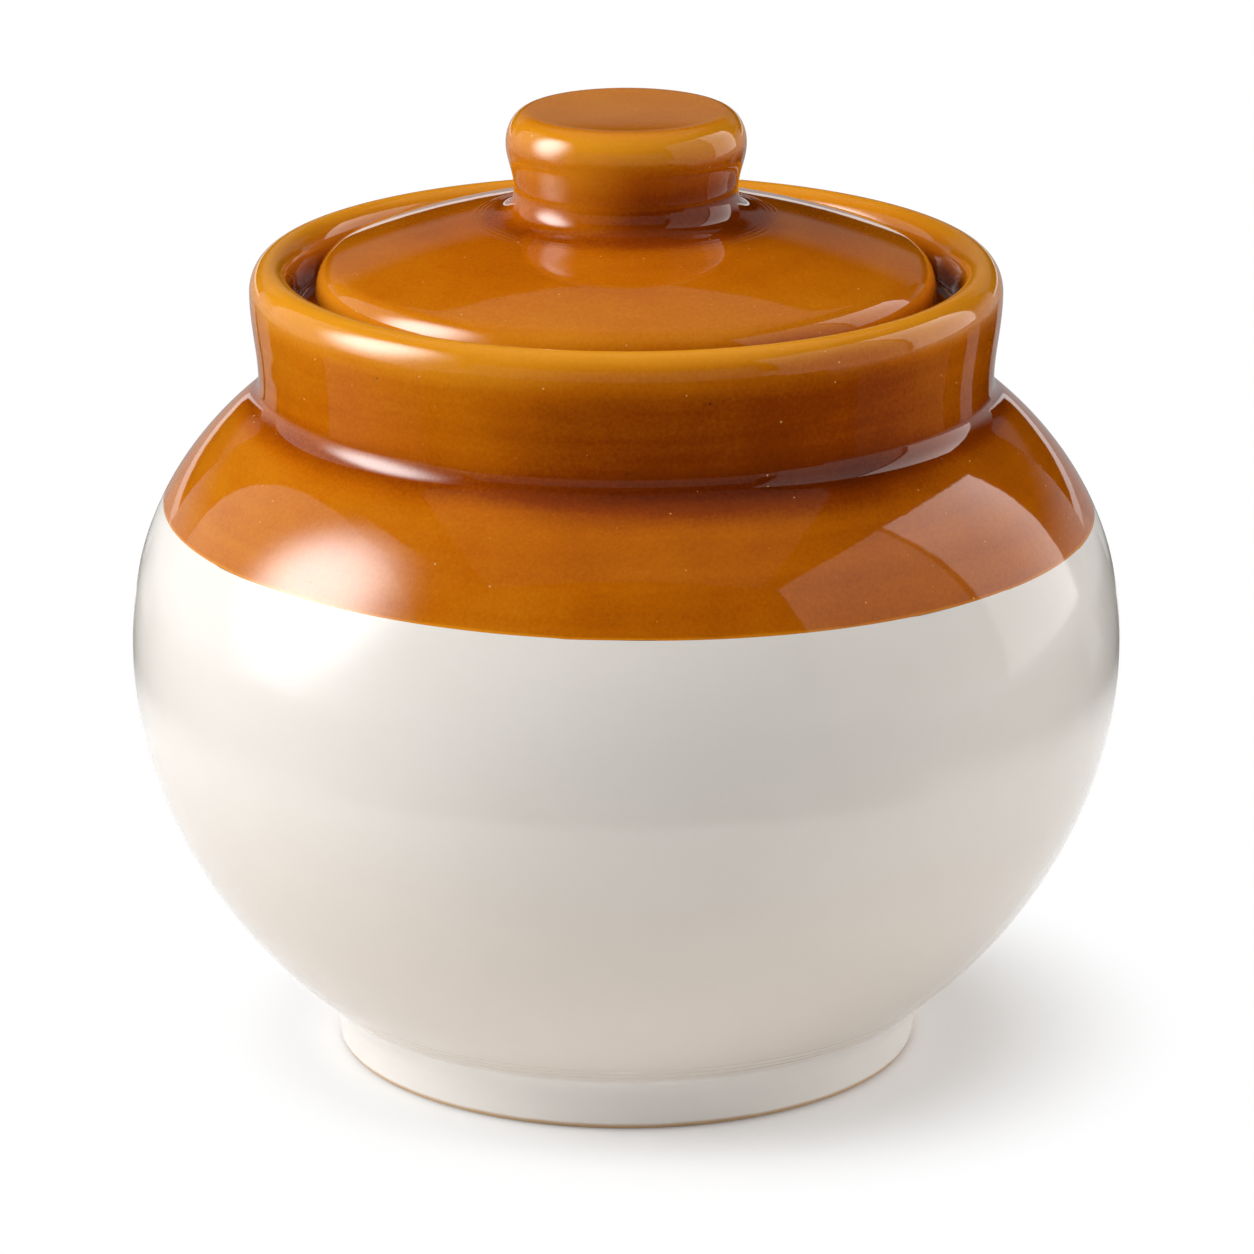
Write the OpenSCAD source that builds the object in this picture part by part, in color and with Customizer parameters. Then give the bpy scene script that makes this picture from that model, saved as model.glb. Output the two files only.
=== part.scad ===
// Round-bellied stoneware jar with a drop-in lid, two-tone glazed: amber above, off-white below.
// Origin on the ground at the middle of the foot ring, +Z up. All sizes are in millimetres.
// The jar and the lid are turned forms. Each glaze coat is a skin of its own over the bare clay.

/* [Belly] */
// Widest diameter of the jar, over the glaze
belly_d = 180; // [160:1:220]
// Reach of the lower belly curve, from the widest point down to where it would close
belly_low_reach = 85.4; // [80:0.2:100]
// Fullness of the lower belly curve, where 2 is an ellipse
belly_low_fullness = 1.95; // [1.8:0.01:2.3]
// Reach of the shoulder curve, from the widest point up to where it would close
belly_top_reach = 64.8; // [56:0.2:80]
// Fullness of the shoulder curve, where 2 is an ellipse
belly_top_fullness = 2.17; // [1.9:0.01:2.5]
// Wall of the belly, over both glazes
wall = 6.5; // [4:0.1:9]
// Clay of the base, between its two glazes
base_t = 6; // [4:0.5:12]
// Height above the floor at which the base is joined to the bowl
base_joint_h = 7.6; // [4:0.2:16]
// Fullness of the inside below the widest point, where 2 is an ellipse
inside_low_fullness = 2.5; // [2.2:0.01:2.7]

/* [Foot ring] */
// Diameter of the foot ring where it meets the belly
foot_d = 107.2; // [96:0.2:120]
// Height of the foot ring, up to where the belly starts
foot_h = 8.7; // [6.5:0.1:12]
// How much narrower the radius of the foot ring is at its lower edge
foot_taper = 0.4; // [0:0.1:2]
// Roundness of the lower outside edge of the foot ring
foot_edge_r = 1.2; // [0.8:0.1:2.5]
// Reach of the hollow between the foot ring and the belly
foot_hollow = 2.9; // [1:0.1:4]
// Width of the ring that touches the ground
foot_ring_w = 8; // [5:0.5:14]
// Depth of the recess inside the foot ring, up to its glaze
foot_recess = 3.6; // [2:0.1:5]
// Height of the bare clay edge that the white glaze leaves at the ground
bare_edge_h = 0.5; // [0.3:0.1:0.7]

/* [Collar and rim] */
// Diameter of the collar where it stands on the shoulder
collar_d = 132.6; // [126:0.2:140]
// How much wider the radius of the collar is at the rim
collar_flare = 1.4; // [0:0.1:3]
// Height from the shoulder to the top of the rim
collar_h = 24; // [20:0.2:34]
// Reach of the hollow between the shoulder and the collar
collar_hollow = 2.4; // [1:0.1:4]
// Width of the rim roll
rim_w = 7.6; // [6:0.1:9]
// Height of the rounded part of the rim
rim_round_h = 5.2; // [3:0.1:7]
// Depth of the gallery, from the top of the rim to the ledge that carries the lid
gallery_depth = 11; // [9:0.1:13]
// Thickness of the ledge at the mouth
ledge_t = 7; // [5:0.1:9]
// Diameter of the mouth
mouth_d = 96; // [90:0.5:99]
// Roundness of the lower edge of the ledge at the mouth
ledge_edge_r = 3; // [1:0.1:4]
// Reach of the rounding inside, where the shoulder turns up into the collar
throat_round = 2.5; // [1:0.1:3]

/* [Lid] */
// Gap between the edge of the lid and the gallery wall
lid_gap = 4.3; // [2:0.1:5]
// Height of the lid's edge, from the ledge to its widest line
lid_edge_low = 5.8; // [4:0.1:7]
// Height of the lid's edge, from its widest line to the dome
lid_edge_top = 6.3; // [4:0.1:8]
// How far the top edge of the lid rounds inwards
lid_edge_round = 4.9; // [3:0.1:6]
// How far the lower edge of the lid rounds inwards to its seat
lid_seat_round = 4; // [3:0.1:4.5]
// Slope of the dome at its edge, in degrees
lid_dome_slope = 21; // [16:0.5:24]
// Clay of the dome
lid_t = 6.5; // [5:0.1:8]
// Depth of the locating skirt below the ledge
skirt_h = 5; // [3:0.1:8]
// Clay of the locating skirt
skirt_t = 4; // [3:0.1:6]
// Gap between the skirt and the mouth
skirt_gap = 0.8; // [0.5:0.1:1.5]
// Reach of the rounding between the skirt and the lid's underside
under_round = 4; // [2:0.1:6]

/* [Knob] */
// Widest diameter of the knob
knob_d = 43.1; // [38:0.1:50]
// Diameter of the knob's neck
neck_d = 40.2; // [34:0.1:42]
// Diameter of the flat on top of the knob
knob_face_d = 34.6; // [28:0.1:37]
// Height of the knob above the dome at its neck
knob_h = 18.3; // [15:0.1:24]
// Height of the rounded top edge of the knob
knob_round_h = 5.8; // [3:0.1:8]
// Depth of the dish in the knob's top
knob_dish = 0.5; // [0:0.1:1]
// Reach of the hollow around the neck, where the knob is luted to the dome
neck_hollow = 4.3; // [3:0.1:6]

/* [Glaze] */
// Thickness of every glaze coat
glaze_t = 0.5; // [0.3:0.05:0.7]
// How deep the rim was dipped in the amber glaze
dip_depth = 45.1; // [36:0.1:60]
// Lean of the glaze line, in degrees, lower on the right-hand side
dip_lean = 0.7; // [0:0.1:3]
// Width of clay that is wiped bare beside each seat
wipe_w = 1; // [0.5:0.1:2]

/* [Hidden] */
$fn = 180;
// Points on each curved stretch of an outline
steps = 20;

clay_colour = [0.78, 0.66, 0.52];
white_colour = [0.93, 0.92, 0.89];
amber_colour = [0.74, 0.42, 0.07];

// Belly curve: half of a barrel whose fullness differs above and below its widest point
belly_r = belly_d / 2;
foot_r = foot_d / 2;
collar_r = collar_d / 2;
belly_mid_h = foot_h + curve_rise(belly_r, belly_low_reach, belly_low_fullness, foot_r);
collar_z = belly_mid_h + curve_rise(belly_r, belly_top_reach, belly_top_fullness, collar_r);

// Rim, gallery and mouth
jar_h = collar_z + collar_h;
rim_z = jar_h - rim_round_h;
rim_r = collar_r + collar_flare;
rim_mid_r = rim_r - rim_w / 2;
gallery_r = rim_r - rim_w;
ledge_z = jar_h - gallery_depth;
mouth_r = mouth_d / 2;

// Inside of the jar
floor_z = foot_recess + base_t + 2 * glaze_t;
base_joint_z = floor_z + base_joint_h;
inside_r = belly_r - wall;
inside_low_reach = belly_mid_h - floor_z;
inside_top_reach = belly_top_reach - wall;
throat_r = collar_r - wall;
throat_z = belly_mid_h + curve_rise(inside_r, inside_top_reach, belly_top_fullness, throat_r);
inside_end_z = throat_z - throat_round;
ledge_under_z = ledge_z - ledge_t;

// Foot ring, from the ground up
foot_low_r = foot_r - foot_taper;
foot_edge_angle = asin((foot_edge_r - bare_edge_h) / foot_edge_r);
contact_r = foot_low_r - foot_edge_r + foot_edge_r * cos(foot_edge_angle) - glaze_t - bare_edge_h;
recess_r = contact_r - foot_ring_w;

// Lid: the dome is an arc of a circle that runs into an elliptical edge at one slope
lid_r = gallery_r - lid_gap;
lid_mid_z = ledge_z + lid_edge_low;
edge_mid_r = lid_r - lid_edge_round;
edge_start = atan(tan(lid_dome_slope) * lid_edge_round / lid_edge_top);
dome_end_r = edge_mid_r + lid_edge_round * sin(edge_start);
dome_end_z = lid_mid_z + lid_edge_top * cos(edge_start);
dome_radius = dome_end_r / sin(lid_dome_slope);
dome_mid_z = dome_end_z - dome_radius * cos(lid_dome_slope);
seat_r = lid_r - lid_seat_round;
seat_glaze_angle = asin(wipe_w / lid_edge_low);
skirt_r = mouth_r - skirt_gap;
skirt_in_r = skirt_r - skirt_t;
skirt_z = ledge_z - skirt_h;
under_radius = dome_radius - lid_t - 2 * glaze_t;

// Knob
neck_r = neck_d / 2;
knob_r = knob_d / 2;
face_r = knob_face_d / 2;
neck_z = dome_z(neck_r);
knob_top_z = neck_z + knob_h;
knob_mid_z = knob_top_z - knob_round_h;
pad_r = neck_r + neck_hollow;

// Half-space that the glaze line's plane bounds
dip_z = jar_h - dip_depth;
half_space = 2 * (belly_d + jar_h);

// Distance from the widest point at which a barrel curve comes in to a radius
function curve_rise(widest_r, reach, fullness, r) =
    reach * pow(1 - pow(r / widest_r, fullness), 1 / fullness);

// Radius of a barrel curve at a distance from its widest point
function curve_r(widest_r, reach, fullness, rise) =
    widest_r * pow(1 - pow(rise / reach, fullness), 1 / fullness);

// Radius of the outside of the belly at a height
function belly_r_at(z) = z < belly_mid_h
    ? curve_r(belly_r, belly_low_reach, belly_low_fullness, belly_mid_h - z)
    : curve_r(belly_r, belly_top_reach, belly_top_fullness, z - belly_mid_h);

// Change of the belly's radius for each millimetre of height
function belly_lean(z) = (belly_r_at(z + 0.01) - belly_r_at(z - 0.01)) / 0.02;

// Height of the lid's dome at a radius
function dome_z(r) = dome_mid_z + sqrt(pow(dome_radius, 2) - r * r);

// Height of the lid's glazed underside at a radius
function under_z(r) = dome_mid_z + sqrt(pow(under_radius, 2) - r * r);

// Value that eases from one size to another, level at both ends, as t goes from 0 to 1
function ease(from, to, t) = from + (to - from) * (1 - cos(180 * t)) / 2;

// Arc of an ellipse, its angles counted from straight out
function arc(mid_r, mid_z, wide, high, from, to) =
    [for (i = [0 : steps]) let (a = from + (to - from) * i / steps)
        [mid_r + wide * cos(a), mid_z + high * sin(a)]];

// Hollow that leaves the first line and joins the second, with its corner where they would meet
function hollow(first, corner, last) =
    [for (i = [0 : steps / 2]) let (t = 2 * i / steps)
        pow(1 - t, 2) * first + 2 * t * (1 - t) * corner + t * t * last];

// All points of a list but its first
function after_first(line) = [for (i = [1 : len(line) - 1]) line[i]];

// Direction across an outline at a point, towards its right-hand side
function across(line, i) =
    let (
        before = line[max(i - 1, 0)],
        next = line[min(i + 1, len(line) - 1)],
        run = next - before
    )
    line[i].x == 0 ? [0, sign(-run.x)] : [run.y, -run.x] / norm(run);

// The same outline sunk into the clay. Each outline runs with the clay on its right-hand side.
function sunk(line, depth) = [for (i = [0 : len(line) - 1]) line[i] + depth * across(line, i)];

// An outline from its end back to its start
function turned_back(line) = [for (i = [len(line) - 1 : -1 : 0]) line[i]];

// Outline of the collar and rim, from the gallery's ledge over the rim to the shoulder's hollow
collar_foot_z = collar_z + collar_hollow;
shoulder_end_z = collar_z - 0.7 * collar_hollow;
shoulder_end = [belly_r_at(shoulder_end_z), shoulder_end_z];
shoulder_corner = [
    collar_r,
    shoulder_end.y + (collar_r - shoulder_end.x) / belly_lean(shoulder_end_z)
];
rim_line = concat(
    [[gallery_r, ledge_z]],
    arc(rim_mid_r, rim_z, rim_w / 2, rim_round_h, 180, 0),
    [for (i = [1 : steps - 1])
        [ease(rim_r, collar_r, i / steps), rim_z + (collar_foot_z - rim_z) * i / steps]]
);

// Outline of the belly, down to the bare edge of the foot ring
belly_end_z = foot_h + 0.6 * foot_hollow;
belly_end = [belly_r_at(belly_end_z), belly_end_z];
foot_corner = [foot_r, belly_end.y - (belly_end.x - foot_r) / belly_lean(belly_end_z)];
belly_line = concat(
    hollow([collar_r, collar_foot_z], shoulder_corner, shoulder_end),
    [for (i = [1 : steps]) let (z = shoulder_end_z + (belly_mid_h - shoulder_end_z) * i / steps)
        [belly_r_at(z), z]],
    [for (i = [1 : steps - 1]) let (z = belly_mid_h + (belly_end_z - belly_mid_h) * i / steps)
        [belly_r_at(z), z]],
    hollow(belly_end, foot_corner, [foot_r, foot_h - foot_hollow]),
    arc(foot_low_r - foot_edge_r, foot_edge_r, foot_edge_r, foot_edge_r, 0, -foot_edge_angle)
);
outer_line = concat(rim_line, belly_line);
outer_clay_line = sunk(outer_line, glaze_t);
belly_clay_line = [for (i = [len(rim_line) : len(outer_line) - 1]) outer_clay_line[i]];

// Outline of the inside, from the middle of the floor to the top of the mouth
inside_top_r = function(z) curve_r(inside_r, inside_top_reach, belly_top_fullness, z - belly_mid_h);
liner_line = concat(
    [for (i = [0 : steps]) let (a = 90 * (1 - i / steps))
        [inside_r * pow(cos(a), 2 / inside_low_fullness),
         belly_mid_h - inside_low_reach * pow(sin(a), 2 / inside_low_fullness)]],
    [for (i = [1 : steps - 1]) let (z = belly_mid_h + (inside_end_z - belly_mid_h) * i / steps)
        [inside_top_r(z), z]],
    hollow(
        [inside_top_r(inside_end_z), inside_end_z],
        [throat_r, throat_z],
        [throat_r, throat_z + throat_round]
    ),
    after_first(hollow(
        [throat_r, throat_z + throat_round],
        [throat_r, ledge_under_z],
        [mouth_r + ledge_edge_r, ledge_under_z]
    )),
    after_first(arc(
        mouth_r + ledge_edge_r, ledge_under_z + ledge_edge_r, ledge_edge_r, ledge_edge_r, 270, 180
    )),
    [[mouth_r, ledge_z - wipe_w]]
);

// Outline of the knob, from the middle of its top to the end of the hollow around its neck
neck_foot_z = neck_z + neck_hollow;
pad = [pad_r, dome_z(pad_r)];
dome_fall = pad_r / sqrt(pow(dome_radius, 2) - pad_r * pad_r);
knob_line = concat(
    [for (i = [0 : steps / 2]) let (t = 2 * i / steps)
        [face_r * t, knob_top_z - knob_dish * (1 - t * t)]],
    after_first(arc(face_r, knob_mid_z, knob_r - face_r, knob_round_h, 90, 0)),
    [for (i = [1 : steps - 1])
        [ease(knob_r, neck_r, i / steps), knob_mid_z + (neck_foot_z - knob_mid_z) * i / steps]],
    hollow([neck_r, neck_foot_z], [neck_r, pad.y + (pad_r - neck_r) * dome_fall], pad)
);

// Outline of the lid, from the knob's pad over the dome and edge to the wiped seat
lid_line = concat(
    [for (i = [0 : steps]) let (r = pad_r + (dome_end_r - pad_r) * i / steps) [r, dome_z(r)]],
    after_first(arc(
        edge_mid_r, lid_mid_z, lid_edge_round, lid_edge_top, 90 - edge_start, 0
    )),
    after_first(arc(
        seat_r, lid_mid_z, lid_seat_round, lid_edge_low, 0, -90 + seat_glaze_angle
    ))
);
lid_clay_line = sunk(concat(knob_line, after_first(lid_line)), glaze_t);
knob_count = len(knob_line);
knob_clay_line = [for (i = [0 : knob_count - 1]) lid_clay_line[i]];
dome_clay_line = [for (i = [knob_count - 1 : len(lid_clay_line) - 1]) lid_clay_line[i]];
clay_pad_z = dome_clay_line[0].y;

// Outline of the lid's underside, from the skirt's lower edge to the middle
under_end_r = skirt_in_r - under_round;
under_line = concat(
    [[skirt_in_r, skirt_z + wipe_w]],
    hollow(
        [skirt_in_r, under_z(skirt_in_r) - under_round],
        [skirt_in_r, under_z(skirt_in_r)],
        [under_end_r, under_z(under_end_r)]
    ),
    [for (i = [1 : steps]) let (r = under_end_r * (1 - i / steps)) [r, under_z(r)]]
);

// A coat of glaze over an outline
module coat(line, clay_line) {
    rotate_extrude() polygon(concat(line, turned_back(clay_line)));
}

// All that lies below the leaning plane of the glaze line, or above it
module below_glaze_line() {
    translate([0, 0, dip_z]) rotate([0, dip_lean, 0])
        translate([-half_space / 2, -half_space / 2, -half_space]) cube(half_space);
}

// The jar's whole clay
module jar_form() {
    rotate_extrude() polygon(concat(
        outer_clay_line,
        [[contact_r, 0], [recess_r, 0], [recess_r, foot_recess + glaze_t]],
        [[0, foot_recess + glaze_t]],
        sunk(liner_line, glaze_t),
        [[mouth_r + glaze_t, ledge_z]]
    ));
}

// The clay of one thrown section of the jar, between two levels
module jar_section(low_z, high_z) {
    color(clay_colour) intersection() {
        jar_form();
        translate([-belly_d, -belly_d, low_z]) cube([2 * belly_d, 2 * belly_d, high_z - low_z]);
    }
}

module base_clay() {
    jar_section(0, base_joint_z);
}

module bowl_clay() {
    jar_section(base_joint_z, belly_mid_h);
}

module shoulder_clay() {
    jar_section(belly_mid_h, collar_z);
}

module collar_clay() {
    jar_section(collar_z, jar_h);
}

module belly_glaze() {
    color(white_colour) intersection() {
        coat(belly_line, belly_clay_line);
        below_glaze_line();
    }
}

module shoulder_glaze() {
    color(amber_colour) difference() {
        coat(outer_line, outer_clay_line);
        below_glaze_line();
    }
}

module liner_glaze() {
    color(white_colour) coat(liner_line, sunk(liner_line, glaze_t));
}

module base_glaze() {
    color(white_colour) translate([0, 0, foot_recess]) cylinder(r = recess_r, h = glaze_t);
}

module lid_clay() {
    color(clay_colour) rotate_extrude() polygon(concat(
        dome_clay_line,
        [[seat_r - glaze_t, ledge_z], [skirt_r, ledge_z]],
        [[skirt_r, skirt_z], [skirt_in_r + glaze_t, skirt_z]],
        sunk(under_line, glaze_t),
        [[0, clay_pad_z]]
    ));
}

module lid_glaze() {
    color(amber_colour) coat(lid_line, dome_clay_line);
}

module lid_liner_glaze() {
    color(white_colour) coat(under_line, sunk(under_line, glaze_t));
}

module knob_clay() {
    color(clay_colour) rotate_extrude() polygon(concat(knob_clay_line, [[0, clay_pad_z]]));
}

module knob_glaze() {
    color(amber_colour) coat(knob_line, knob_clay_line);
}

base_clay();
bowl_clay();
shoulder_clay();
collar_clay();
belly_glaze();
shoulder_glaze();
liner_glaze();
base_glaze();
lid_clay();
lid_glaze();
lid_liner_glaze();
knob_clay();
knob_glaze();
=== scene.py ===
# %% [markdown]
# # A two-tone stoneware jar with a drop-in lid
#
# The real jar is thrown on a wheel, dipped in an off-white glaze, dipped again upside down in an
# amber one, and fired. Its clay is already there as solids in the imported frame. This lesson turns
# the glass-like coats that lie over the clay, gives every surface its finish, and lights the jar
# as a small studio would. Everything is in metres, with the ground at z = 0.

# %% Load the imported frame
import math

import bpy
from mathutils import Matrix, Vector, kdtree


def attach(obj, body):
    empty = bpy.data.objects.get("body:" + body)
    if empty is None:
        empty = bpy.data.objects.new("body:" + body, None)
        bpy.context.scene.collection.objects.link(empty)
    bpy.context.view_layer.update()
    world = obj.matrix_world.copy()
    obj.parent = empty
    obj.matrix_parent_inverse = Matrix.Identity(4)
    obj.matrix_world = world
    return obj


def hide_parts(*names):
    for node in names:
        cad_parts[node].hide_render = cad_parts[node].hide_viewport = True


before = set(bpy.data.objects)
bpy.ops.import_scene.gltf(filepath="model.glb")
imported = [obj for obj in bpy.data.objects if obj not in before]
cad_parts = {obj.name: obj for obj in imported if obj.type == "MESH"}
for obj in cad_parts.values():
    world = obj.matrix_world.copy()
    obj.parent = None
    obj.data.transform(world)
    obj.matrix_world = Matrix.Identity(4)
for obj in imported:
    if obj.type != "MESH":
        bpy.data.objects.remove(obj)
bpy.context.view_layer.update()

# %% [markdown]
# ## The camera
#
# The photograph looks down on the jar by about 17 degrees from a bit more than a metre away, with
# a long lens, so the near and the far side of the rim come out almost equally wide. The axis of
# the jar stands a hair left of the middle of the picture, and a tiny shift puts it there.

# %% Camera
CAMERA_PITCH = math.radians(17.489)
bpy.ops.object.select_all(action="DESELECT")
bpy.ops.object.camera_add(
    location=(0, -1.14453, 0.4382), rotation=(math.pi / 2 - CAMERA_PITCH, 0, 0)
)
camera = bpy.context.active_object
camera.name = "studio_camera"
camera.data.lens = 188.57
camera.data.sensor_width = 36
camera.data.shift_x = 0.00064
bpy.context.scene.camera = camera
print("Camera looks down by", round(math.degrees(CAMERA_PITCH), 2), "degrees")

# %% [markdown]
# ## Helpers for finishes
#
# A finish is a small network of nodes. Writing each node with its values on one line keeps the
# recipe readable: `add` makes a node, and `mix` lays one colour over another.


# %% Node helpers
def add(tree, kind, values=None, **settings):
    """A node of this kind. A value that is a socket is linked, and any other is set."""
    made = tree.nodes.new("ShaderNode" + kind)
    for name, value in settings.items():
        setattr(made, name, value)
    for socket, value in (values or {}).items():
        if isinstance(value, bpy.types.NodeSocket):
            tree.links.new(value, made.inputs[socket])
        else:
            made.inputs[socket].default_value = value
    return made


def maths(tree, operation, first, second=0.0, clamp=False):
    """The result of one sum."""
    made = add(tree, "Math", {0: first, 1: second}, operation=operation, use_clamp=clamp)
    return made.outputs[0]


def mix(tree, share, under, over, blend="MIX"):
    """One colour laid over another."""
    made = add(tree, "Mix", {0: share, 6: under, 7: over}, data_type="RGBA", blend_type=blend)
    return made.outputs[2]


def between(tree, value, low, high, to_low=0.0, to_high=1.0):
    """A value that eases from to_low at low to to_high at high."""
    made = add(
        tree,
        "MapRange",
        {0: value, 1: low, 2: high, 3: to_low, 4: to_high},
        interpolation_type="SMOOTHSTEP",
    )
    return made.outputs[0]


def new_finish(name):
    """A material, its tree and its shader."""
    finish = bpy.data.materials.new(name)
    finish.use_nodes = True
    tree = finish.node_tree
    return finish, tree, tree.nodes["Principled BSDF"]


# %% [markdown]
# ## The studio
#
# The photograph's reflections tell where its lights stood: a tall softbox with a hot middle on
# the left, a warmer window of two panes on the right, a dim sheet overhead, a pale wall behind
# the camera, and dark cloth all around. A glossy glaze shows the shape of whatever shines, so two
# kinds of light are used. Lamps give the even light and stay out of the reflections. Glowing
# cards are seen only in the gloss, where each can be brighter in its middle or soft at an edge.

# %% Lamps
MIDDLE = Vector((0, 0, 0.09))


def towards(azimuth, elevation):
    """Direction from the jar. azimuth counts from the camera's side to +X, in degrees."""
    a, e = math.radians(azimuth), math.radians(elevation)
    return Vector((math.sin(a) * math.cos(e), -math.cos(a) * math.cos(e), math.sin(e)))


def lamp(name, azimuth, elevation, distance, size, level, colour):
    """A soft square lamp. level 1 lights a white card that faces it to plain white."""
    out = towards(azimuth, elevation)
    bpy.ops.object.select_all(action="DESELECT")
    bpy.ops.object.light_add(type="AREA", location=MIDDLE + out * distance)
    made = bpy.context.active_object
    made.name = name
    made.rotation_euler = out.to_track_quat("Z", "Y").to_euler()
    made.data.size = size
    made.data.energy = level * math.pi**2 * distance**2
    made.data.color = colour
    made.visible_glossy = False
    print(name, "at", azimuth, "and", elevation, "degrees,", round(made.data.energy, 1), "W")


lamp("key_lamp", -77, 38, 1.3, 0.8, 1.0, (1, 0.99, 0.975))
lamp("window_lamp", 82, 28, 1.3, 0.9, 0.46, (1, 0.965, 0.94))
lamp("top_lamp", 180, 80, 1.5, 1.3, 0.22, (1, 0.985, 0.965))


# %% Reflection cards
def only_in_gloss(thing):
    """The thing shows in reflections and gives no light of its own."""
    for ray in ("camera", "diffuse", "volume_scatter", "shadow"):
        setattr(thing, "visible_" + ray, False)


def glowing(thing, colour, strength):
    """A glow. strength is a number, or works one out in the tree."""
    finish, tree, shader = new_finish(thing.name)
    tree.nodes.remove(shader)
    glow = add(tree, "Emission", {0: colour, 1: strength(tree) if callable(strength) else strength})
    tree.links.new(glow.outputs[0], tree.nodes["Material Output"].inputs[0])
    thing.data.materials.append(finish)
    only_in_gloss(thing)


def flat_card(name, azimuth, across, height, distance=1.0):
    """An upright card, square to a direction, from and to a distance across and a height."""
    bpy.ops.object.select_all(action="DESELECT")
    bpy.ops.mesh.primitive_plane_add(size=1, location=(0, 0, 0))
    card = bpy.context.active_object
    card.name = name
    out, along = towards(azimuth, 0), towards(azimuth + 90, 0)
    for vertex in card.data.vertices:
        u, v = across[vertex.co.x > 0], height[vertex.co.y > 0]
        vertex.co = out * distance + along * u + Vector((0, 0, v))
    return card


def round_card(name, azimuth, distance, height):
    """A card bent round the jar, upright or lying, between two azimuths."""
    bpy.ops.object.select_all(action="DESELECT")
    bpy.ops.mesh.primitive_grid_add(x_subdivisions=48, y_subdivisions=1, size=1)
    card = bpy.context.active_object
    card.name = name
    for vertex in card.data.vertices:
        s, t = vertex.co.x + 0.5, vertex.co.y + 0.5
        out = towards(azimuth[0] + (azimuth[1] - azimuth[0]) * s, 0)
        away = distance[0] + (distance[1] - distance[0]) * t
        vertex.co = out * away + Vector((0, 0, height[0] + (height[1] - height[0]) * t))
    return card


def across_card(tree, azimuth):
    """Distance across a flat card, and height, at each of its points."""
    place = add(tree, "TexCoord").outputs["Object"]
    along = add(tree, "VectorMath", {0: place, 1: towards(azimuth + 90, 0)}, operation="DOT_PRODUCT")
    return along.outputs["Value"], add(tree, "SeparateXYZ", {0: place}).outputs[2]


# %% Left softbox
LEFT = -74


def left_strength(tree):
    """A dim face with a round top, and a soft hot middle taller than it is wide."""
    u, v = across_card(tree, LEFT)
    over = maths(tree, "DIVIDE", maths(tree, "MAXIMUM", maths(tree, "ADD", v, -0.45), 0.0), 0.68)
    beside = maths(tree, "DIVIDE", maths(tree, "ADD", u, 0.60), 1.05)
    outline = maths(tree, "ADD", maths(tree, "POWER", over, 2), maths(tree, "MULTIPLY", beside, beside))
    inside = between(tree, outline, 0.97, 1.03, 1.0, 0.0)
    face = maths(tree, "MULTIPLY", between(tree, u, -0.1, 0.44, 0.75, 0.3), inside)
    off_u = maths(tree, "DIVIDE", maths(tree, "ADD", u, 0.165), 0.325)
    off_v = maths(tree, "DIVIDE", maths(tree, "ADD", v, -0.61), 0.45)
    squares = maths(
        tree, "ADD", maths(tree, "MULTIPLY", off_u, off_u), maths(tree, "MULTIPLY", off_v, off_v)
    )
    hot = maths(
        tree, "EXPONENT", maths(tree, "MULTIPLY", maths(tree, "POWER", squares, 1.5), -1.0)
    )
    return maths(tree, "ADD", face, maths(tree, "MULTIPLY", hot, 15.0))


glowing(
    flat_card("left_softbox", LEFT, (-1.66, 0.44), (0.01, 1.25)), (0.985, 0.985, 0.985, 1), left_strength
)

# %% Right window
RIGHT = 70


def right_strength(tree):
    """A dim pane, a thin bar and a brighter pane, both brighter higher up."""
    u, v = across_card(tree, RIGHT)
    first = between(tree, u, 0.365, 0.375, 0.55, 0.12)
    second = between(tree, u, 0.405, 0.425, 0.0, 1.50)
    rise = between(tree, u, 0.5, 1.7, 0.0, 0.7)
    panes = maths(tree, "ADD", first, maths(tree, "ADD", second, rise))
    return maths(tree, "MULTIPLY", panes, between(tree, v, 0.5, 1.1, 1.0, 1.4))


glowing(
    flat_card("right_window", RIGHT, (-0.46, 1.60), (0.0, 1.22)), (1, 0.93, 0.90, 1), right_strength
)

# %% Overhead sheet and wall behind the camera
bpy.ops.object.select_all(action="DESELECT")
bpy.ops.mesh.primitive_plane_add(size=1, location=(0, 0, 0))
overhead = bpy.context.active_object
overhead.name = "overhead_sheet"
for vertex in overhead.data.vertices:
    vertex.co = (math.copysign(0.8, vertex.co.x), 1.2 if vertex.co.y > 0 else -0.9, 1.4)


def overhead_strength(tree):
    """Dimmer towards the camera."""
    place = add(tree, "TexCoord").outputs["Object"]
    return between(tree, add(tree, "SeparateXYZ", {0: place}).outputs[1], -0.4, 0.5, 0.10, 0.24)


glowing(overhead, (1, 0.97, 0.94, 1), overhead_strength)
glowing(round_card("front_wall", (-48, 40), (2.2, 2.2), (0.02, 1.25)), (0.94, 0.97, 1, 1), 0.22)


# %% Light on the table
def left_table_strength(tree):
    """Fades towards the camera."""
    u, _ = across_card(tree, -90)
    return between(tree, u, 0.0, 0.17, 0.17, 0.04)


glowing(
    round_card("left_table", (-99, -60), (0.28, 0.50), (0.002, 0.002)), (1, 1, 1, 1), left_table_strength
)
glowing(round_card("right_table", (70, 110), (0.28, 0.50), (0.002, 0.002)), (1, 0.9, 0.8, 1), 0.07)
glowing(round_card("left_strip", (-147, -134), (0.40, 0.60), (0.002, 0.002)), (1, 1, 1, 1), 0.28)
glowing(round_card("right_strip", (121, 130), (0.35, 0.60), (0.002, 0.002)), (1, 1, 1, 1), 0.28)

# %% [markdown]
# The dark cloth is only seen in reflections. Without it, a clear glaze would reflect a white room
# from every side and the amber would look milky. It hangs round the studio and lies on the table,
# and leaves open only the white paper behind the jar, which gives the back edges a thin bright
# line, and the paper close to the foot.

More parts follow.
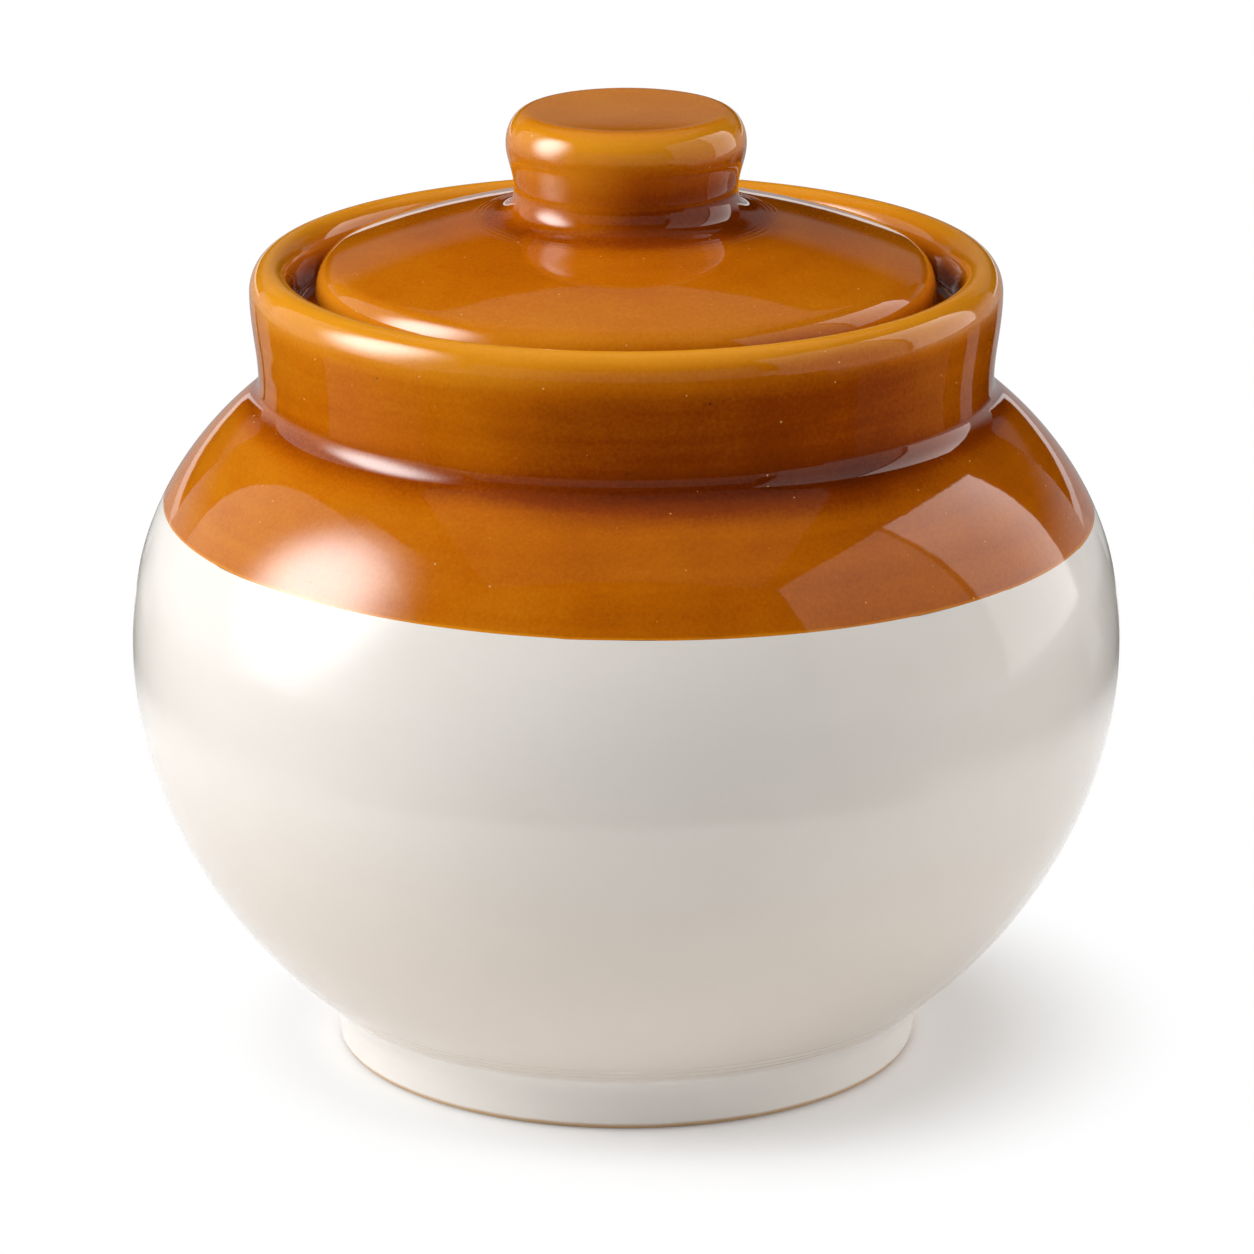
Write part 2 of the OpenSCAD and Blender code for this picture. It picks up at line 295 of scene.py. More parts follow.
# %% Dark cloth
BLACK, PALE = (0, 0, 0, 1), (1, 1, 1, 1)


def back_strength(tree):
    """A grey band of paper between black below and above."""
    place = add(tree, "TexCoord").outputs["Object"]
    height = add(tree, "SeparateXYZ", {0: place}).outputs[2]
    band = between(tree, height, 0.45, 0.65, 0.0, 0.14)
    return maths(tree, "MULTIPLY", band, between(tree, height, 1.0, 1.3, 1.0, 0.0))


def table_edge_strength(tree):
    """From black near the jar to the pale table further back."""
    place = add(tree, "TexCoord").outputs["Object"]
    away = add(tree, "VectorMath", {0: place}, operation="LENGTH").outputs["Value"]
    return between(tree, away, 0.37, 0.47, 0.0, 0.4)


def side_table_strength(tree):
    """Black near the jar, with a pale inner edge, and a dim table beyond."""
    place = add(tree, "TexCoord").outputs["Object"]
    away = add(tree, "VectorMath", {0: place}, operation="LENGTH").outputs["Value"]
    inner = between(tree, away, 0.20, 0.28, 0.9, 0.0)
    return maths(tree, "ADD", inner, between(tree, away, 0.45, 0.9, 0.0, 0.5))


def side_wall_strength(tree):
    """As dim as the table where it meets it, and black from there up."""
    place = add(tree, "TexCoord").outputs["Object"]
    height = add(tree, "SeparateXYZ", {0: place}).outputs[2]
    return between(tree, height, 0.1, 0.75, 0.5, 0.0)


glowing(round_card("back_cloth", (146, 214), (2.4, 2.4), (0.12, 3.0)), (1, 1, 1, 1), back_strength)
glowing(round_card("hung_cloth", (-146, 146), (2.4, 2.4), (0.0, 3.0)), PALE, side_wall_strength)
glowing(round_card("cloth_roof", (-180, 180), (0.0, 2.4), (3.0, 3.0)), BLACK, 0.0)
glowing(round_card("front_cloth", (-60, 60), (0.21, 2.4), (0.001, 0.001)), BLACK, 0.0)
glowing(round_card("table_cloth_left", (-150, -60), (0.20, 2.4), (0.001, 0.001)), PALE, side_table_strength)
glowing(round_card("table_cloth_right", (60, 150), (0.20, 2.4), (0.001, 0.001)), PALE, side_table_strength)
glowing(round_card("table_cloth_back", (150, 210), (0.34, 2.4), (0.001, 0.001)), PALE, table_edge_strength)


# %% World and floor
def seen_directly(tree):
    """1 for camera, glossy and transmission rays, and 0 for the light itself."""
    path = add(tree, "LightPath").outputs
    glossy = maths(tree, "ADD", path["Is Camera Ray"], path["Is Glossy Ray"])
    return maths(tree, "ADD", glossy, path["Is Transmission Ray"], clamp=True)


world = bpy.data.worlds.new("studio_world")
world.use_nodes = True
bpy.context.scene.world = world
sky = world.node_tree
room = sky.nodes["Background"]
room.inputs[0].default_value = (1, 0.975, 0.95, 1)
room.inputs[1].default_value = 0.15
backdrop = add(sky, "Background", {0: (1, 1, 1, 1), 1: 1.0})
choice = add(
    sky, "MixShader", {0: seen_directly(sky), 1: room.outputs[0], 2: backdrop.outputs[0]}
)
sky.links.new(choice.outputs[0], sky.nodes["World Output"].inputs[0])

bpy.ops.object.select_all(action="DESELECT")
bpy.ops.mesh.primitive_circle_add(vertices=96, radius=4.0, fill_type="NGON", location=(0, 0, 0))
floor = bpy.context.active_object
floor.name = "floor"
floor_finish, floor_tree, floor_shader = new_finish("pale_floor")
floor_tree.nodes.remove(floor_shader)
paper = add(floor_tree, "BsdfDiffuse", {0: (0.82, 0.82, 0.825, 1)})
floor_place = add(floor_tree, "TexCoord").outputs["Object"]
near = add(floor_tree, "VectorMath", {0: floor_place}, operation="LENGTH").outputs["Value"]
# Painted shadow: the white floor dimmed to 0.86 in a ring close round the foot.
painted_foot_shadow = between(floor_tree, near, 0.056, 0.074, 0.86, 1.0)
white = add(floor_tree, "Emission", {0: (1, 1, 1, 1), 1: painted_foot_shadow})
middle = add(floor_tree, "VectorMath", {0: floor_place, 1: (0.012, 0.003, 0)}, operation="SUBTRACT")
reach = add(floor_tree, "VectorMath", {0: middle.outputs[0]}, operation="LENGTH").outputs["Value"]
under_glow = add(
    floor_tree, "Emission", {0: (1, 0.99, 0.98, 1), 1: between(floor_tree, reach, 0.16, 0.4, 0.12, 0.0)}
)
table = add(floor_tree, "AddShader", {0: paper.outputs[0], 1: under_glow.outputs[0]})
far = between(floor_tree, reach, 0.042, 0.094)
fade = maths(floor_tree, "MULTIPLY", far, seen_directly(floor_tree))
floor_mix = add(floor_tree, "MixShader", {0: fade, 1: table.outputs[0], 2: white.outputs[0]})
floor_tree.links.new(floor_mix.outputs[0], floor_tree.nodes["Material Output"].inputs[0])
floor.data.materials.append(floor_finish)
bpy.context.scene.view_settings.view_transform = "Standard"

# %% [markdown]
# ## Outlines
#
# A thrown pot is one outline carried once round the wheel's axis, so the outline is worked out
# first, in millimetres, from the same sizes as the clay below it. The belly is a barrel curve
# whose fullness differs above and below its widest point. Rolls are arcs of an ellipse, and the
# hollows between two forms are soft curves that leave one line and join the next.

# %% Sizes of the jar and the lid, in millimetres
MM = 0.001
FINE = 120
belly_r, foot_r, collar_r = 90.0, 53.6, 66.3
belly_low = (85.4, 1.95)
belly_top = (64.8, 2.17)
foot_h, foot_taper, foot_edge_r, foot_hollow = 8.7, 0.4, 1.2, 2.9
foot_recess, foot_ring_w, bare_edge_h = 3.6, 8.0, 0.5
collar_h, collar_flare, collar_hollow = 24.0, 1.4, 2.4
rim_w, rim_round_h, gallery_depth = 7.6, 5.2, 11.0
ledge_t, mouth_r, ledge_edge_r, throat_round = 7.0, 48.0, 3.0, 2.5
wall, base_t, glaze_t, wipe_w = 6.5, 6.0, 0.5, 1.0
dip_depth, dip_lean = 45.1, math.radians(0.7)


# %% Curves
def curve_rise(widest, reach, fullness, r):
    """Height over the widest point at which a barrel curve comes in to a radius."""
    return reach * (1 - (r / widest) ** fullness) ** (1 / fullness)


def curve_r(widest, reach, fullness, rise):
    """Radius of a barrel curve at a distance from its widest point."""
    return widest * (1 - (rise / reach) ** fullness) ** (1 / fullness)


def steps(first, last, count=FINE):
    """Evenly spaced values, both ends among them."""
    return [first + (last - first) * i / count for i in range(count + 1)]


def arc(mid_r, mid_z, wide, high, first, last):
    """Arc of an ellipse, its angles in degrees from straight out."""
    turns = [math.radians(a) for a in steps(first, last)]
    return [(mid_r + wide * math.cos(a), mid_z + high * math.sin(a)) for a in turns]


def hollow(first, corner, last):
    """Soft curve between two lines that would meet at the corner."""
    return [
        tuple(
            (1 - t) ** 2 * a + 2 * t * (1 - t) * b + t * t * c
            for a, b, c in zip(first, corner, last)
        )
        for t in steps(0, 1)
    ]


def ease(first, last, t):
    """A size that changes gently from one value to another."""
    return first + (last - first) * (1 - math.cos(math.pi * t)) / 2


belly_mid_h = foot_h + curve_rise(belly_r, *belly_low, foot_r)
collar_z = belly_mid_h + curve_rise(belly_r, *belly_top, collar_r)
jar_h = collar_z + collar_h
dip_z = jar_h - dip_depth


def belly_r_at(z):
    """Radius of the outside of the belly at a height."""
    if z < belly_mid_h:
        return curve_r(belly_r, *belly_low, belly_mid_h - z)
    return curve_r(belly_r, *belly_top, z - belly_mid_h)


def belly_lean(z):
    """Change of the belly's radius for each millimetre of height."""
    return (belly_r_at(z + 0.01) - belly_r_at(z - 0.01)) / 0.02


print("Jar", round(jar_h, 2), "mm high, widest at", round(belly_mid_h, 2), "mm")

# %% [markdown]
# Inside the collar, the amber glaze has run down the gallery and gathered in its corner, so the
# first stretch of the outline crosses the ledge and rises in a small hollow.

# %% Outline of the rim and the collar
rim_z = jar_h - rim_round_h
rim_r = collar_r + collar_flare
rim_mid_r = rim_r - rim_w / 2
gallery_r = rim_r - rim_w
ledge_z = jar_h - gallery_depth
collar_foot_z = collar_z + collar_hollow
rim_line = arc(gallery_r - 2.6, ledge_z + 2.8, 2.6, 2.3, -90, 0)
rim_line = [(r, z) for r, z in [(54.6, ledge_z + 0.3), (55.1, ledge_z + 0.5)]] + rim_line
rim_line += [(gallery_r, z) for z in steps(ledge_z + 2.8, rim_z)]
rim_line += arc(rim_mid_r, rim_z, rim_w / 2, rim_round_h, 180, 0)
rim_line += [
    (ease(rim_r, collar_r, t), rim_z + (collar_foot_z - rim_z) * t) for t in steps(0, 1)
]

# %% Outline of the shoulder, the belly and the foot
shoulder_end_z = collar_z - 0.7 * collar_hollow
shoulder_end = (belly_r_at(shoulder_end_z), shoulder_end_z)
shoulder_corner = (
    collar_r,
    shoulder_end_z + (collar_r - shoulder_end[0]) / belly_lean(shoulder_end_z),
)
belly_end_z = foot_h + 0.6 * foot_hollow
belly_end = (belly_r_at(belly_end_z), belly_end_z)
foot_corner = (foot_r, belly_end_z - (belly_end[0] - foot_r) / belly_lean(belly_end_z))
foot_low_r = foot_r - foot_taper
foot_edge_angle = math.degrees(math.asin((foot_edge_r - bare_edge_h) / foot_edge_r))
shoulder_line = hollow((collar_r, collar_foot_z), shoulder_corner, shoulder_end)
shoulder_line += [(belly_r_at(z), z) for z in steps(shoulder_end_z, belly_mid_h)]
low_line = [(belly_r_at(z), z) for z in steps(belly_mid_h, belly_end_z, 3 * FINE)]
low_line += hollow(belly_end, foot_corner, (foot_r, foot_h - foot_hollow))
low_line += arc(
    foot_low_r - foot_edge_r, foot_edge_r, foot_edge_r, foot_edge_r, 0, -foot_edge_angle
)

# %% Outline of the inside
inside_r = belly_r - wall
floor_z = foot_recess + base_t + 2 * glaze_t
inside_reach = belly_top[0] - wall
throat_r = collar_r - wall
throat_z = belly_mid_h + curve_rise(inside_r, inside_reach, belly_top[1], throat_r)
inside_end_z = throat_z - throat_round
ledge_under_z = ledge_z - ledge_t


def inside_r_at(z):
    """Radius of the inside above its widest point."""
    return curve_r(inside_r, inside_reach, belly_top[1], z - belly_mid_h)


liner_line = [
    (
        inside_r * math.cos(a) ** 0.8,
        belly_mid_h - (belly_mid_h - floor_z) * math.sin(a) ** 0.8,
    )
    for a in steps(math.pi / 2, 0)
]
liner_line[0] = (0.0, floor_z)
liner_line += [(inside_r_at(z), z) for z in steps(belly_mid_h, inside_end_z)]
liner_line += hollow(
    (inside_r_at(inside_end_z), inside_end_z),
    (throat_r, throat_z),
    (throat_r, throat_z + throat_round),
)
liner_line += hollow(
    (throat_r, throat_z + throat_round),
    (throat_r, ledge_under_z),
    (mouth_r + ledge_edge_r, ledge_under_z),
)
liner_line += arc(
    mouth_r + ledge_edge_r, ledge_under_z + ledge_edge_r, ledge_edge_r, ledge_edge_r, 270, 180
)
liner_line += [(mouth_r, ledge_z - wipe_w)]

# %% Outline of the knob
lid_gap, edge_low, edge_top, edge_round = 4.3, 5.8, 6.3, 4.9
seat_round, dome_slope, lid_t = 4.0, math.radians(21), 6.5
skirt_in_r, skirt_h, under_round = 43.2, 5.0, 4.0
knob_r, neck_r, face_r = 21.55, 20.1, 17.3
knob_h, knob_round_h, knob_dish, neck_hollow = 18.3, 5.8, 0.5, 4.3
lid_r = gallery_r - lid_gap
lid_mid_z = ledge_z + edge_low
edge_mid_r = lid_r - edge_round
edge_start = math.atan(math.tan(dome_slope) * edge_round / edge_top)
dome_end_r = edge_mid_r + edge_round * math.sin(edge_start)
dome_end_z = lid_mid_z + edge_top * math.cos(edge_start)
dome_radius = dome_end_r / math.sin(dome_slope)
dome_mid_z = dome_end_z - dome_radius * math.cos(dome_slope)


def dome_z(r):
    """Height of the lid's dome at a radius."""
    return dome_mid_z + math.sqrt(dome_radius**2 - r * r)


neck_z = dome_z(neck_r)
knob_top_z = neck_z + knob_h
knob_mid_z = knob_top_z - knob_round_h
neck_foot_z = neck_z + neck_hollow
pad_r = neck_r + neck_hollow
pad = (pad_r, dome_z(pad_r))
pad_fall = pad_r / math.sqrt(dome_radius**2 - pad_r**2)
knob_line = [(face_r * t, knob_top_z - knob_dish * (1 - t * t)) for t in steps(0, 1)]
knob_line += arc(face_r, knob_mid_z, knob_r - face_r, knob_round_h, 90, 0)
knob_line += [
    (ease(knob_r, neck_r, t), knob_mid_z + (neck_foot_z - knob_mid_z) * t) for t in steps(0, 1)
]
knob_line += hollow((neck_r, neck_foot_z), (neck_r, pad[1] + (pad_r - neck_r) * pad_fall), pad)

# %% Outline of the lid
seat_angle = math.degrees(math.asin(wipe_w / edge_low))
lid_line = [(r, dome_z(r)) for r in steps(pad_r, dome_end_r)]
lid_line += arc(
    edge_mid_r, lid_mid_z, edge_round, edge_top, 90 - math.degrees(edge_start), 0
)
lid_line += arc(lid_r - seat_round, lid_mid_z, seat_round, edge_low, 0, seat_angle - 90)
under_radius = dome_radius - lid_t - 2 * glaze_t


def under_z(r):
    """Height of the lid's glazed underside at a radius."""
    return dome_mid_z + math.sqrt(under_radius**2 - r * r)


under_end_r = skirt_in_r - under_round
under_line = [(skirt_in_r, z) for z in steps(ledge_z - skirt_h + wipe_w, under_z(skirt_in_r) - 4)]
under_line += hollow(
    (skirt_in_r, under_z(skirt_in_r) - under_round),
    (skirt_in_r, under_z(skirt_in_r)),
    (under_end_r, under_z(under_end_r)),
)
under_line += [(r, under_z(r)) for r in steps(under_end_r, 0)]
print("Lid", round(2 * lid_r, 2), "mm wide, knob top at", round(knob_top_z, 2), "mm")


# %% [markdown]
# ## Turner's marks
#
# The wheel leaves fine lines where a tool rested: a few above the foot ring and a few round the
# pad under the knob. They are cut into the outline, so they are there in the mesh as well.
# Then the outline is thinned out: points stay close where it bends and go wide where it runs
# nearly straight, which keeps the mesh light and the rolls round.


# %% Marks and spacing
def cut_lines(line, at, marks, depth, width):
    """The outline with fine grooves. at picks r (0) or z (1), and marks are the places."""
    made = []
    for i, (r, z) in enumerate(line):
        before, after = line[max(i - 1, 0)], line[min(i + 1, len(line) - 1)]
        run = (after[0] - before[0], after[1] - before[1])
        length = math.hypot(*run) or 1.0
        cut = sum(depth * math.exp(-((((r, z)[at] - m) / width) ** 2)) for m in marks)
        made.append((r + cut * run[1] / length, z - cut * run[0] / length))
    return made


def bend_between(a, b, c):
    """Turn of the outline at b, in degrees."""
    first = math.atan2(b[1] - a[1], b[0] - a[0])
    second = math.atan2(c[1] - b[1], c[0] - b[0])
    return abs(math.degrees(math.remainder(second - first, 2 * math.pi)))


def thin_out(line, stride, bend, close=None):
    """Points kept where stride millimetres or bend degrees have gone by. close is (at, low, high, stride)."""
    clean = [line[0]] + [b for a, b in zip(line, line[1:]) if math.dist(a, b) > 1e-4]
    kept, gone = [clean[0]], 0.0
    for a, b, c in zip(clean, clean[1:], clean[2:]):
        here = stride
        if close and close[1] < b[close[0]] < close[2]:
            here = close[3]
        gone += math.dist(a, b) / here + bend_between(a, b, c) / bend
        if gone >= 1:
            kept.append(b)
            gone = 0.0
    return kept + [clean[-1]]


FOOT_MARKS = (11.4, 12.7, 14.0)
PAD_MARKS = (25.3, 26.2, 27.2)
low_line = cut_lines(low_line, 1, FOOT_MARKS, 0.11, 0.30)
lid_line = cut_lines(lid_line, 0, PAD_MARKS, 0.05, 0.25)
print("Marks cut at", FOOT_MARKS, "and", PAD_MARKS)

# %% [markdown]
# ## Turning a coat
#
# A coat starts as one point. The point is extruded along the outline, the wire is spun round the
# axis, the seam and the poles are merged, and the faces are made to point outwards. A glaze line
# that leans is cut straight through with a bisect. Last, Solidify gives the half millimetre of
# glass, inwards, so that the outside stays exactly on the outline.

# %% Turning
SEGMENTS = 256


def point_to_wire(name, line):
    """A wire drawn from one point along the outline, left in edit mode."""
    bpy.ops.object.select_all(action="DESELECT")
    bpy.ops.mesh.primitive_plane_add(size=MM, location=(0, 0, 0))
    piece = bpy.context.active_object
    piece.name = name
    bpy.ops.object.mode_set(mode="EDIT")
    bpy.ops.mesh.select_mode(type="VERT")
    bpy.ops.mesh.select_all(action="SELECT")
    bpy.ops.mesh.merge(type="CENTER")
    bpy.ops.transform.translate(value=(line[0][0] * MM, 0, line[0][1] * MM))
    for here, there in zip(line, line[1:]):
        step = ((there[0] - here[0]) * MM, 0, (there[1] - here[1]) * MM)
        bpy.ops.mesh.extrude_region_move(TRANSFORM_OT_translate={"value": step})
    return piece


def glaze_cut(keep):
    """Cuts along the leaning glaze line and keeps what is "above" or "below" it."""
    bpy.ops.mesh.select_all(action="SELECT")
    bpy.ops.mesh.bisect(
        plane_co=(0, 0, dip_z * MM),
        plane_no=(math.sin(dip_lean), 0, math.cos(dip_lean)),
        clear_inner=keep == "above",
        clear_outer=keep == "below",
    )


def turn_coat(name, line, keep=None, faces="out", segments=SEGMENTS):
    """A coat of glaze over an outline, turned round the axis."""
    piece = point_to_wire(name, line)
    bpy.ops.mesh.select_all(action="SELECT")
    bpy.ops.mesh.spin(steps=segments, angle=2 * math.pi, center=(0, 0, 0), axis=(0, 0, 1))
    bpy.ops.mesh.select_all(action="SELECT")
    bpy.ops.mesh.remove_doubles(threshold=0.01 * MM)
    bpy.ops.mesh.normals_make_consistent(inside=False)
    if faces == "in":
        bpy.ops.mesh.flip_normals()
    if keep:
        glaze_cut(keep)
    bpy.ops.object.mode_set(mode="OBJECT")
    skin = piece.modifiers.new("glass", "SOLIDIFY")
    skin.thickness = glaze_t * MM
    skin.offset = -1
    skin.use_even_offset = True
    bpy.ops.object.modifier_apply(modifier=skin.name)
    bpy.ops.object.shade_smooth_by_angle(angle=math.radians(50))
    return piece


# %% [markdown]
# ## How thick the glaze lies
#
# Molten glaze creeps off sharp rolls and gathers in hollows. Amber glaze shows it well: golden
# where it is thin, dark red-brown where it is deep. Each vertex gets a number for that, from the
# bend of the outline around it: -1 on a tight roll, 0 on an even wall, 1 in a tight hollow.


# %% Pooling
def pooling(line, reach=2.0, strength=3.0, sag=0.8):
    """One value for each point, from the bend of the outline smoothed over reach millimetres.

    Soft glaze sags, so a value belongs to the bend sag millimetres back along the outline.
    """
    arcs, turns = [0.0], [0.0]
    for a, b in zip(line, line[1:]):
        arcs.append(arcs[-1] + math.dist(a, b))
    for a, b, c in zip(line, line[1:], line[2:]):
        first = math.atan2(b[1] - a[1], b[0] - a[0])
        second = math.atan2(c[1] - b[1], c[0] - b[0])
        turns.append(math.remainder(second - first, 2 * math.pi))
    turns.append(0.0)
    values = []
    for s in arcs:
        weights = [math.exp(-(((t - s + sag) / reach) ** 2)) for t in arcs]
        spans = [
            (arcs[min(i + 1, len(arcs) - 1)] - arcs[max(i - 1, 0)]) / 2 for i in range(len(arcs))
        ]
        bend = sum(w * k for w, k in zip(weights, turns)) / sum(
            w * d for w, d in zip(weights, spans)
        )
        values.append(math.tanh(strength * bend * (1.0 if bend > 0 else 1.15)))
    return values


def paint_pooling(piece, line, **how):
    """Writes the outline's pooling on every vertex that belongs to each of its points."""
    values = pooling(line, **how)
    tree = kdtree.KDTree(len(line))
    for i, (r, z) in enumerate(line):
        tree.insert((r, z, 0), i)
    tree.balance()
    layer = piece.data.attributes.new("pooling", "FLOAT", "POINT")
    for vertex, value in zip(piece.data.vertices, layer.data):
        r = math.hypot(vertex.co.x, vertex.co.y) / MM
        value.value = values[tree.find((r, vertex.co.z / MM, 0))[1]]
    print(piece.name, len(line), "points, pooling", round(min(values), 2), "to", round(max(values), 2))


# %% Coats of the jar
upper_line = thin_out(rim_line + shoulder_line, 1.3, 4.5)
shoulder_coat = turn_coat("shoulder_coat", upper_line, keep="above")
paint_pooling(shoulder_coat, upper_line)

lower_line = thin_out(
    [p for p in shoulder_line if p[1] < dip_z + 4] + low_line, 2.2, 4.5, close=(1, 10.8, 14.8, 0.14)
)
belly_coat = turn_coat("belly_coat", lower_line, keep="below")
paint_pooling(belly_coat, lower_line)

inner_line = thin_out(liner_line, 2.6, 5)
liner_coat = turn_coat("liner_coat", inner_line, faces="in", segments=192)
paint_pooling(liner_coat, inner_line)

# %% Coats of the lid
top_line = thin_out(knob_line + lid_line, 1.4, 4.5, close=(0, 24.6, 27.9, 0.2))
lid_coat = turn_coat("lid_coat", top_line)
paint_pooling(lid_coat, top_line, reach=1.5, strength=2.0, sag=2.2)

hollow_line = thin_out(under_line, 2.0, 5)
lid_liner_coat = turn_coat("lid_liner_coat", hollow_line, faces="in", segments=192)
paint_pooling(lid_liner_coat, hollow_line)

# %% [markdown]
# ## Under the foot
#
# The recess inside the foot ring is glazed too. The coat is flat in the middle and creeps a
# little up against the ring, as a liquid does in a corner.

# %% Base coat
contact_r = (
    foot_low_r
    - foot_edge_r
    + foot_edge_r * math.cos(math.radians(foot_edge_angle))
    - glaze_t
    - bare_edge_h
)
recess_r = contact_r - foot_ring_w
base_line = [(r, foot_recess) for r in steps(0, recess_r - 1.2, 12)]
base_line += arc(recess_r - 1.2, foot_recess - 0.9, 1.2, 0.9, 90, 0)
base_line = thin_out(base_line, 4, 12)
base_coat = turn_coat("base_coat", base_line, faces="in", segments=192)
paint_pooling(base_coat, base_line)
for piece in (shoulder_coat, belly_coat, liner_coat, lid_coat, lid_liner_coat, base_coat):
    outward = sum(f.normal.x * f.center.x + f.normal.y * f.center.y for f in piece.data.polygons)
    print(piece.name, len(piece.data.polygons), "faces, sum of outward turn", round(outward, 3))


# %% [markdown]
# ## Amber glaze
#
# The glaze is a clear brown glass over pale clay. Its colour follows how thick it lies, with a
# soft mottle, a fine freckle, tiny dark pinholes and a few pale specks. Near the glaze line it
# thins to gold. Light and shade are painted into the colour as well: painted shade on the right
# of the jar, on the collar where it faces a little right of the camera and on the right of the
# knob's neck, and painted light on the left of the jar, round the neck, towards the lid's edge
# and on the knob's top. Its surface is smooth but not flat: a faint orange peel makes the
# reflections wander. The network reads Object coordinates and the pooling values, and nothing else.


# %% Shared pieces of a glaze
def spots(tree, place, per_metre, radius, share, shift):
    """Small round spots: 1 inside, 0 outside. share is how many of the cells have one."""
    moved = add(tree, "Mapping", {0: place, 1: (shift, shift * 0.7, shift * 1.3)}).outputs[0]
    cells = add(tree, "TexVoronoi", {"Vector": moved, "Scale": per_metre})
    chance = add(tree, "SeparateColor", {0: cells.outputs["Color"]}).outputs
    size = between(tree, chance[1], 0.0, 1.0, 0.5 * radius * per_metre, radius * per_metre)
    inside = maths(tree, "DIVIDE", cells.outputs["Distance"], size)
    dot = between(tree, inside, 0.6, 1.0, 1.0, 0.0)
    return maths(tree, "MULTIPLY", dot, maths(tree, "LESS_THAN", chance[0], share))


def noise(tree, place, scale, detail=2.0, roughness=0.5):
    """Noise from about 0 to 1 round a middle of 0.5."""
    made = add(
        tree,
        "TexNoise",
        {"Vector": place, "Scale": scale, "Detail": detail, "Roughness": roughness},
    )
    return made.outputs[0]


def wander(tree, value, amount):
    """Noise turned into a change of plus or minus amount."""
    return maths(tree, "MULTIPLY", maths(tree, "ADD", value, -0.5), 2 * amount)


def total(tree, first, *rest):
    """The sum of several values."""
    for value in rest:
        first = maths(tree, "ADD", first, value)
    return first


# %% Amber glaze
amber, tree, shader = new_finish("amber_glaze")
place = add(tree, "TexCoord").outputs["Object"]
pooled = add(tree, "Attribute", attribute_name="pooling").outputs["Fac"]
line_normal = (math.sin(dip_lean), 0, math.cos(dip_lean))
height = add(tree, "VectorMath", {0: place, 1: line_normal}, operation="DOT_PRODUCT")
over_line = maths(tree, "ADD", height.outputs["Value"], -dip_z * MM * math.cos(dip_lean))
fringe_w = maths(tree, "ADD", 0.0006, wander(tree, noise(tree, place, 90), 0.0004))
fringe = between(tree, maths(tree, "DIVIDE", over_line, fringe_w), 0.2, 1.0, 1.0, 0.0)
stretched = add(tree, "Mapping", {0: place, 3: (14, 14, 260)}).outputs[0]
brushed = wander(tree, noise(tree, stretched, 1.0, 3, 0.6), 0.20)
mottle = wander(tree, noise(tree, place, 70, 4, 0.55), 0.18)
cloud = wander(tree, noise(tree, place, 16, 2), 0.22)
freckle = wander(tree, noise(tree, place, 1500, 2, 0.8), 0.24)
axes = add(tree, "SeparateXYZ", {0: place}).outputs
over_rim = between(tree, axes[2], 0.143, 0.149)
# Painted light and shade: the amber is lighter on the jar's left and darker on its right, not on the lid.
painted_left_right_shade = between(tree, axes[0], -0.07, 0.07, -0.16, 0.16)
painted_left_right_shade = maths(tree, "MULTIPLY", painted_left_right_shade, maths(tree, "SUBTRACT", 1.0, over_rim))
flat = add(tree, "VectorMath", {0: place, 1: (1, 1, 0)}, operation="MULTIPLY").outputs[0]
out = add(tree, "VectorMath", {0: flat}, operation="NORMALIZE").outputs[0]


def painted_band_shading(azimuth, low, high, levels, amount):
    """Painted shade in a band between two heights, on the side of a wall that faces an azimuth; a negative
    amount paints light.
    """
    facing = add(tree, "VectorMath", {0: out, 1: towards(azimuth, 0)}, operation="DOT_PRODUCT")
    side = between(tree, facing.outputs["Value"], low, high, 0.0, amount)
    up = between(tree, axes[2], levels[0], levels[0] + 0.004)
    down = between(tree, axes[2], levels[1] - 0.004, levels[1], 1.0, 0.0)
    return maths(tree, "MULTIPLY", side, maths(tree, "MULTIPLY", up, down))


# Painted shade on the collar, where it faces a little right of the camera.
collar_painted_shade = painted_band_shading(17, 0.76, 1.0, (0.116, 0.147), 0.36)
# Painted shade on the right of the knob's neck, and painted light all round it: the second facing range takes
# in every side.
neck_painted_shade = painted_band_shading(60, 0.08, 0.80, (0.154, 0.170), 0.74)
neck_painted_light = painted_band_shading(0, -3.0, -2.0, (0.154, 0.170), -0.28)
reach = add(tree, "VectorMath", {0: flat}, operation="LENGTH").outputs["Value"]
# Painted light: the lid's dome lighter towards its edge.
lid_edge_painted_light = maths(tree, "MULTIPLY", over_rim, between(tree, reach, 0.030, 0.056, 0.0, -0.18))
# Painted light: the top of the knob lighter.
knob_top_painted_light = between(tree, axes[2], 0.168, 0.1715, 0.0, -0.28)
# The glaze's depth, with the painted light and shade above added in.
depth = total(tree, pooled, brushed, mottle, cloud, freckle, painted_left_right_shade)
depth = total(tree, depth, collar_painted_shade, neck_painted_shade, neck_painted_light, lid_edge_painted_light, knob_top_painted_light)
depth = total(tree, depth, maths(tree, "MULTIPLY", fringe, -0.45))
ramp = add(tree, "ValToRGB", {0: maths(tree, "ADD", maths(tree, "MULTIPLY", depth, 0.5), 0.5)})
tones = (
    (0.0, (0.74, 0.295, 0.014, 1)),
    (0.24, (0.65, 0.225, 0.008, 1)),
    (0.48, (0.49, 0.121, 0.0015, 1)),
    (0.72, (0.26, 0.043, 0.001, 1)),
    (1.0, (0.105, 0.013, 0.001, 1)),
)
for stop, (at, colour) in enumerate(tones):
    element = ramp.color_ramp.elements[stop] if stop < 2 else ramp.color_ramp.elements.new(at)
    element.position, element.color = at, colour
pinholes = spots(tree, place, 210, 0.00026, 0.20, 3.1)
specks = spots(tree, place, 420, 0.00026, 0.36, 7.7)
